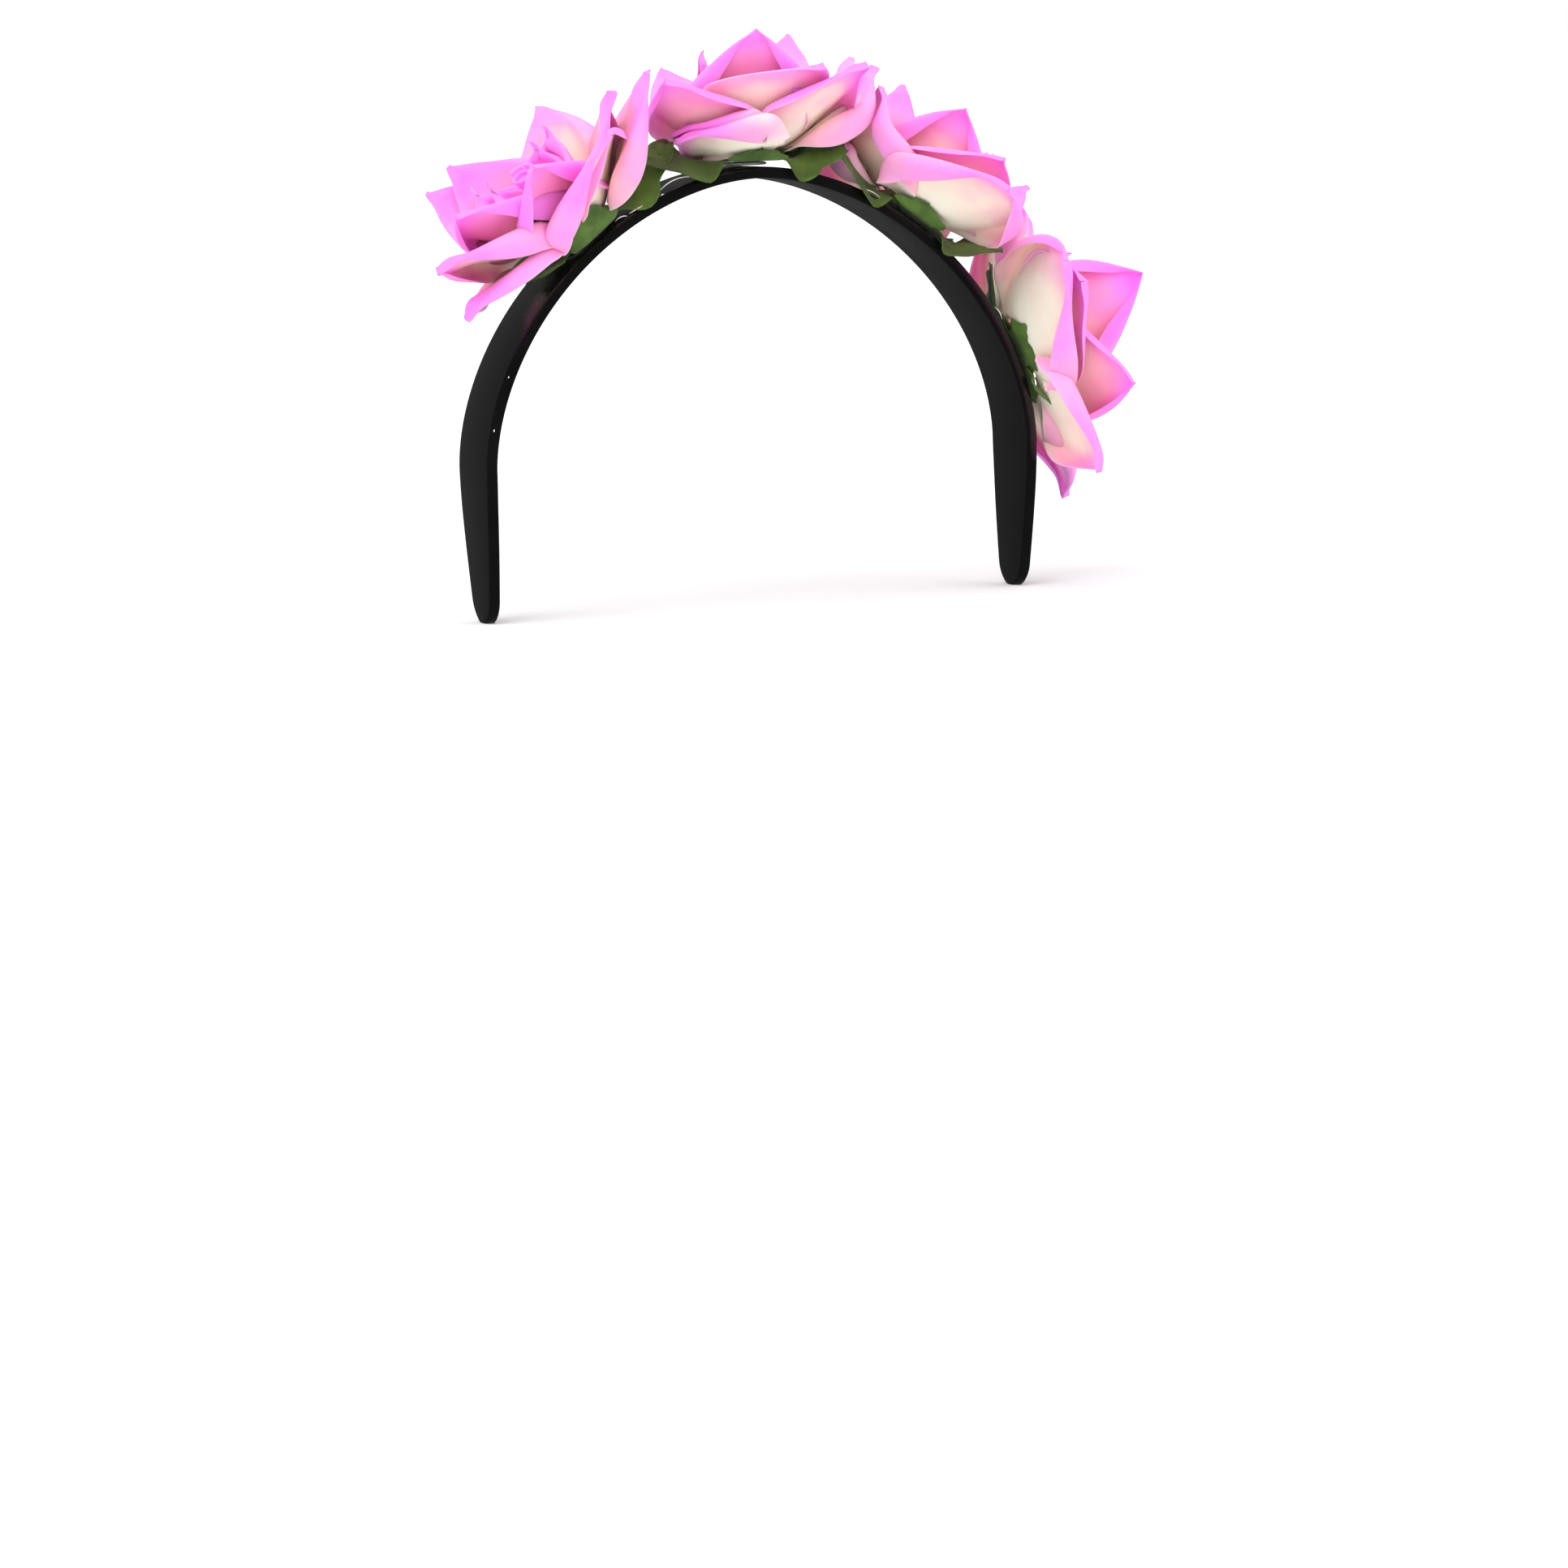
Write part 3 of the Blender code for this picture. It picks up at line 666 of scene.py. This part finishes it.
# Heart: five small petals wound one over the next round a tight scroll of the same foam, deeper in colour
# towards the middle as painted shade. Each starts inside the last, so from above they read as one spiral.
# Heart petals are listed like a rose's petals; their dye value rises towards the middle as painted shade.
HEART = (
    (20, 0.20, 22, 32, 150, 160, 0.0, 0),
    (150, 0.16, 21, 32, 140, 160, 0.05, 0),
    (-85, 0.12, 20, 30, 130, 150, 0.1, 0),
    (40, 0.08, 19, 28, 110, 150, 0.15, 0),
    (170, 0.04, 18, 26, 90, 140, 0.2, 0),
)
HEART_OVERHANG = 4.5 * MM
SCROLL_TURNS = 2.3
SCROLL_RADIUS = (0.8 * MM, 3.0 * MM)
SCROLL_HEIGHT = (9.0 * MM, 26.0 * MM)
SCROLL_DIP = 3.0 * MM
SCROLL_FLARE = 0.35
SCROLL_ROWS, SCROLL_COLUMNS = 24, 90


def scroll_surface(rose):
    """A strip wound into a scroll: the radius grows evenly with the turn, the mouth flares and dips."""
    rise, wind = np.meshgrid(
        np.linspace(0, 1, SCROLL_ROWS), np.linspace(0, 1, SCROLL_COLUMNS), indexing="ij"
    )
    radius = SCROLL_RADIUS[0] + (SCROLL_RADIUS[1] - SCROLL_RADIUS[0]) * wind
    radius = radius * (1 + SCROLL_FLARE * rise**6)
    top = SCROLL_HEIGHT[1] - SCROLL_DIP * (1 - wind) + 0.8 * MM * np.sin(2 * pi * SCROLL_TURNS * wind)
    height = SCROLL_HEIGHT[0] + (top - SCROLL_HEIGHT[0]) * rise
    points = rose.place(radius, 2 * pi * SCROLL_TURNS * wind, height, 0.0)
    return points, 0.5 + 0.5 * rise, 25.0 * (1 - rise)


for rose_number, rose in enumerate(ROSES):
    # The scroll gets the deepest dye value of the heart: painted shade of the rose's middle.
    rings = [petal_ring(scroll_surface(rose), 0.4)]
    for number, petal in enumerate(HEART):
        turned = (petal[0] + 47 * rose_number, *petal[1:])
        surface = petal_surface(rose, turned, 900 + 10 * rose_number + number, HEART_OVERHANG, 0.02)
        rings.append(petal_ring(surface, petal[6]))
    piece = add_rings(f"{rose.name}_foam_heart", rings, foam)
    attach(piece, "root")
    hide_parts(f"{rose.name}_bud")


# Calyx: a five-lobed star stamped from green polyester leaf cloth, threaded over the receptacle's peg.
# The lobes were set by hand, so each turns up against the cup, creased down its middle.
FLAT_RADIUS = OUTER_BASE[0] - GAP
CALYX_FLOOR = GAP + GLUE_HEIGHT + GAP + FABRIC / 2
PEG_HOLE = 1.9 * MM
# Lobes are azimuth in degrees, reach beyond the flat middle and width in mm, how far they turn up, and
# how far they are twisted so that one margin hangs, in degrees.
LOBES = {
    "right_rose": (
        (-88, 12, 18, 62, 0), (-14, 22, 18, 12, -30), (62, 14, 18, 35, 0),
        (134, 13, 18, 30, 0), (-160, 9, 17, 10, 0),
    ),
    "top_rose": (
        (-161, 23, 20, 5, 30), (-32, 15, 18, 8, -36), (24, 13, 17, 30, 0),
        (92, 13, 18, 35, 0), (-95, 5, 18, 40, 0),
    ),
    "left_rose": (
        (-160, 18, 19, 4, 34), (-32, 16, 20, 22, -34), (34, 14, 17, 30, 0),
        (100, 13, 18, 35, 0), (-97, 5, 18, 40, 0),
    ),
    "low_left_rose": (
        (-174, 13, 17, 18, 20), (-40, 9, 17, 14, -20), (38, 14, 17, 30, 0),
        (94, 13, 18, 35, 0), (-105, 5, 17, 40, 0),
    ),
}
LOBE_ROWS, LOBE_COLUMNS = 26, 15
LOBE_FOOT = 0.66
LOBE_ROOT = 0.33
BEND_END = 0.35
CREASE = 0.6 * MM
CRIMP = 0.7 * MM


def lobe_half_width(share, width):
    """Half a lobe's width: two thirds of it at the foot, fullest at a third of the way, blunt at the tip."""
    full = LOBE_FOOT + (1 - LOBE_FOOT) * np.sin(pi * np.clip(share / LOBE_FOOT, 0, 1))
    return width / 2 * full * np.clip(1 - share**4, 0, 1) ** 0.6


def lobe_surface(rose, lobe, seed):
    """One lobe from the peg hole out: flat under the cup, then bent up within a third of its reach.

    Past the bend its radius and height add up the cosine and sine of that angle, and its twist lowers one
    margin and raises the other. A crease raises the middle line, and the margins are crimped by a wave
    that grows towards them.
    """
    degrees, reach, width, lift, twist = lobe
    reach, width, centre = reach * MM, width * MM, radians(degrees)
    phase = np.random.default_rng(seed).uniform(0, 2 * pi, 3)
    flat_reach = FLAT_RADIUS - PEG_HOLE
    travel, columns = np.meshgrid(
        np.linspace(0, flat_reach + reach, LOBE_ROWS), np.linspace(-1, 1, LOBE_COLUMNS), indexing="ij"
    )
    inner = PEG_HOLE + np.minimum(travel, flat_reach)
    share = np.clip(travel - flat_reach, 0, None) / reach
    root = np.minimum(inner * tan(pi / 5) * 0.98, LOBE_ROOT * width)
    half = np.where(share > 0, lobe_half_width(share, width), root)
    angle = radians(lift) * smooth_step(share[:, :1], 0.0, BEND_END)
    step = np.diff(share[:, :1] * reach, axis=0, prepend=0.0)
    out, up = np.cumsum(np.cos(angle) * step, 0), np.cumsum(np.sin(angle) * step, 0)
    azimuth = centre + columns * np.arctan2(half, inner + out)
    radius = (inner + out) * (1 + 0.5 * (1 / np.cos(azimuth - centre) - 1))
    height = CALYX_FLOOR + up + CREASE * np.exp(-((columns / 0.16) ** 2)) * smooth_step(share, 0, 0.3)
    crimp = np.sin(9 * share + 2.0 * columns + phase[0]) + 0.6 * np.sin(15 * share - 3 * columns + phase[1])
    radius = radius + CRIMP * crimp * np.abs(columns) * smooth_step(share, 0.1, 0.6)
    height = height - tan(radians(twist)) * half * columns * smooth_step(share, 0.0, 0.4)
    points = rose.place(radius, azimuth, height, None)
    return points, np.stack([half * columns, PEG_HOLE + travel], -1)


# Polyester leaf cloth, woven fine and stiffened with size: a mid green that drifts at random between darker
# and yellower patches, with a thread every 0.35 mm drawn at 0.5 mm so that it shows, and a dry sheen.
leaf, tree = start_material("woven_polyester_leaf")
THREAD = 0.5 * MM
flat_map = add_node(tree, "ShaderNodeUVMap", uv_map="UVMap")
threads = {"Vector": flat_map.outputs[0], "Scale": 2 * pi / 20 / THREAD}
warp = add_node(tree, "ShaderNodeTexWave", threads, bands_direction="X")
weft = add_node(tree, "ShaderNodeTexWave", threads, bands_direction="Y")
weave = add_node(
    tree, "ShaderNodeMath", {0: warp.outputs["Fac"], 1: weft.outputs["Fac"]}, operation="MULTIPLY"
)
place = add_node(tree, "ShaderNodeTexCoord")
cloud = add_node(
    tree, "ShaderNodeTexNoise", {"Vector": place.outputs["Object"], "Scale": 110.0, "Detail": 4.0}
)
leaf_tone = add_node(
    tree, "ShaderNodeValToRGB", {"Fac": cloud.outputs[0]},
    stops=[(0.3, "#38521C"), (0.5, "#4D6E28"), (0.7, "#648A36")],
)
thread_shade = add_node(
    tree, "ShaderNodeMapRange", {"Value": weave.outputs[0], "To Min": 0.82, "To Max": 1.08}
)
leaf_colour = add_node(
    tree, "ShaderNodeMix", {0: 1.0, 6: leaf_tone.outputs[0], 7: thread_shade.outputs[0]},
    data_type="RGBA", blend_type="MULTIPLY",
)
leaf_relief = add_node(
    tree, "ShaderNodeBump", {"Height": weave.outputs[0], "Strength": 0.35, "Distance": 0.08 * MM}
)
finish_material(
    tree,
    base_color=leaf_colour.outputs[2],
    roughness=0.62,
    ior=1.5,
    specular_ior_level=0.4,
    sheen_weight=0.15,
    sheen_roughness=0.4,
    normal=leaf_relief.outputs[0],
)

for rose_number, rose in enumerate(ROSES):
    rings, flats, cut, outline = [], [], 0.0, []
    for number, lobe in enumerate(LOBES[rose.name]):
        points, flat = lobe_surface(rose, lobe, 500 + 10 * rose_number + number)
        rings.append((closed_sheet(points, FABRIC * 0.7), {}))
        flats.append(sheet_values(flat).reshape(-1, 2))
        cut += float(np.sum((flat[1:, -1, 0] - flat[1:, 0, 0]) * np.diff(flat[:, 0, 1])))
        turn = radians(lobe[0])
        outline.append(flat.reshape(-1, 2) @ np.array([[-sin(turn), cos(turn)], [cos(turn), sin(turn)]]))
    piece = add_rings(f"{rose.name}_leaf_calyx", rings, leaf, np.concatenate(flats))
    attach(piece, "root")
    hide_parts(f"{rose.name}_calyx")
    outline = np.concatenate(outline)


# Receptacle: the green polyethylene cone that the petals are glued round. It hardly shows.
cone_plastic, tree = start_material("moulded_green_polyethylene")
place = add_node(tree, "ShaderNodeTexCoord")
cloud = add_node(
    tree, "ShaderNodeTexNoise", {"Vector": place.outputs["Object"], "Scale": 200.0, "Detail": 2.0}
)
cone_tone = add_node(
    tree, "ShaderNodeValToRGB", {"Fac": cloud.outputs[0]}, stops=[(0.3, "#56743A"), (0.7, "#668746")]
)
cone_relief = add_node(
    tree, "ShaderNodeBump", {"Height": cloud.outputs[0], "Strength": 0.1, "Distance": 0.1 * MM}
)
finish_material(
    tree, base_color=cone_tone.outputs[0], roughness=0.45, ior=1.51, normal=cone_relief.outputs[0]
)
for rose in ROSES:
    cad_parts[f"{rose.name}_receptacle"].data.materials.clear()
    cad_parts[f"{rose.name}_receptacle"].data.materials.append(cone_plastic)


# Glue: a pad of hot-melt squeezed out under each calyx, milky and glossy, with an uneven round edge.
# Hairs of it were pulled across the band as the gun was drawn away, and drops were left on its edge.
GLUE_RADIUS = 6.5 * MM
GLUE_EDGE_STEPS, GLUE_COLUMNS = 10, 48
GLUE_POLE = 0.05 * MM
HAIR_RADIUS = 0.16 * MM
HAIR_POINTS, HAIR_SIDES = 24, 8
# A hair is the start, the pull and the end of its curve, each an arc along the band, a place across it
# and a height above its face, in mm.
HAIRS = {
    "right_rose": (
        ((-38.5, -10.5, 0.3), (-36.5, -12.4, 0.6), (-34.0, -11.2, 0.2)),
        ((-42.5, -9.5, 0.5), (-41.0, -11.8, 1.6), (-39.5, -11.6, 0.3)),
        ((-93.0, -11.9, -0.8), (-92.8, -12.1, -0.8), (-92.5, -11.9, -0.8)),
        ((-107.5, -11.9, -0.8), (-107.2, -12.1, -0.8), (-106.8, -11.9, -0.8)),
    ),
    "top_rose": (
        ((-30.0, -10.0, 0.4), (-24.0, -13.0, 4.5), (-17.5, -12.0, 0.4)),
        ((-29.0, -11.6, 0.2), (-28.5, -12.4, 0.6), (-28.0, -11.6, 0.2)),
    ),
    "left_rose": (((30.0, -10.5, 0.3), (32.0, -12.2, 0.9), (35.5, -11.0, 0.3)),),
    "low_left_rose": (((80.0, -11.0, 0.2), (81.5, -12.0, 0.8), (84.0, -11.0, 0.3)),),
}


def glue_pad(rose, seed):
    """A low cushion turned about the rose's axis: a half-round edge whose radius wanders by three waves."""
    phase = np.random.default_rng(seed).uniform(0, 2 * pi, 3)
    turn = np.arange(GLUE_COLUMNS) / GLUE_COLUMNS * 2 * pi
    edge, around = np.meshgrid(np.linspace(-pi / 2, pi / 2, GLUE_EDGE_STEPS), turn, indexing="ij")
    uneven = 1 + 0.06 * np.sin(2 * around + phase[0]) + 0.05 * np.sin(3 * around + phase[1])
    uneven = uneven + 0.03 * np.sin(7 * around + phase[2])
    radius = GLUE_RADIUS * uneven - GLUE_HEIGHT * (1 - np.cos(edge))
    radius[[0, -1]] = GLUE_POLE
    height = GAP + GLUE_HEIGHT / 2 * (1 + np.sin(edge))
    return rose.place(radius, around, height, None)


def glue_hair(path):
    """A fine thread on a parabola from a start to an end, pulled by a middle point, thinner at both ends."""
    share = np.linspace(0, 1, HAIR_POINTS)[:, None]
    start, pull, end = path * MM
    arc, across, rise = ((1 - share) ** 2 * start + 2 * share * (1 - share) * pull + share**2 * end).T
    outward = np.cross(arch_tangent(arc), ACROSS)
    points = arch_point(arc) + across[:, None] * ACROSS + rise[:, None] * outward
    along = unit(np.gradient(points, axis=0))
    side = unit(np.cross(along, outward))
    angle = np.arange(HAIR_SIDES) / HAIR_SIDES * 2 * pi
    thick = HAIR_RADIUS * (0.35 + 0.65 * np.sin(pi * share))[..., None]
    spoke = np.cos(angle)[:, None] * side[:, None] + np.sin(angle)[:, None] * np.cross(along, side)[:, None]
    return points[:, None] + thick * spoke


# Hot-melt EVA glue: translucent milk white, set with a wet gloss and faint cloudy streaks.
glue_melt, tree = start_material("hot_melt_glue")
place = add_node(tree, "ShaderNodeTexCoord")
cloud = add_node(
    tree, "ShaderNodeTexNoise", {"Vector": place.outputs["Object"], "Scale": 300.0, "Detail": 2.0}
)
glue_tone = add_node(
    tree, "ShaderNodeValToRGB", {"Fac": cloud.outputs[0]}, stops=[(0.3, "#E4E1D8"), (0.7, "#F7F6F1")]
)
glue_ripple = add_node(
    tree, "ShaderNodeBump", {"Height": cloud.outputs[0], "Strength": 0.15, "Distance": 0.2 * MM}
)
finish_material(
    tree, base_color=glue_tone.outputs[0], roughness=0.2, ior=1.49, subsurface_weight=0.3,
    subsurface_radius=(1.0, 0.9, 0.8), subsurface_scale=1.0 * MM, normal=glue_ripple.outputs[0],
)
for rose_number, rose in enumerate(ROSES):
    rings = [(glue_pad(rose, 700 + rose_number), {})]
    rings += [(glue_hair(np.array(path)), {}) for path in HAIRS[rose.name]]
    piece = add_rings(f"{rose.name}_glue_pad", rings, glue_melt)
    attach(piece, "root")
    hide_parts(f"{rose.name}_glue")
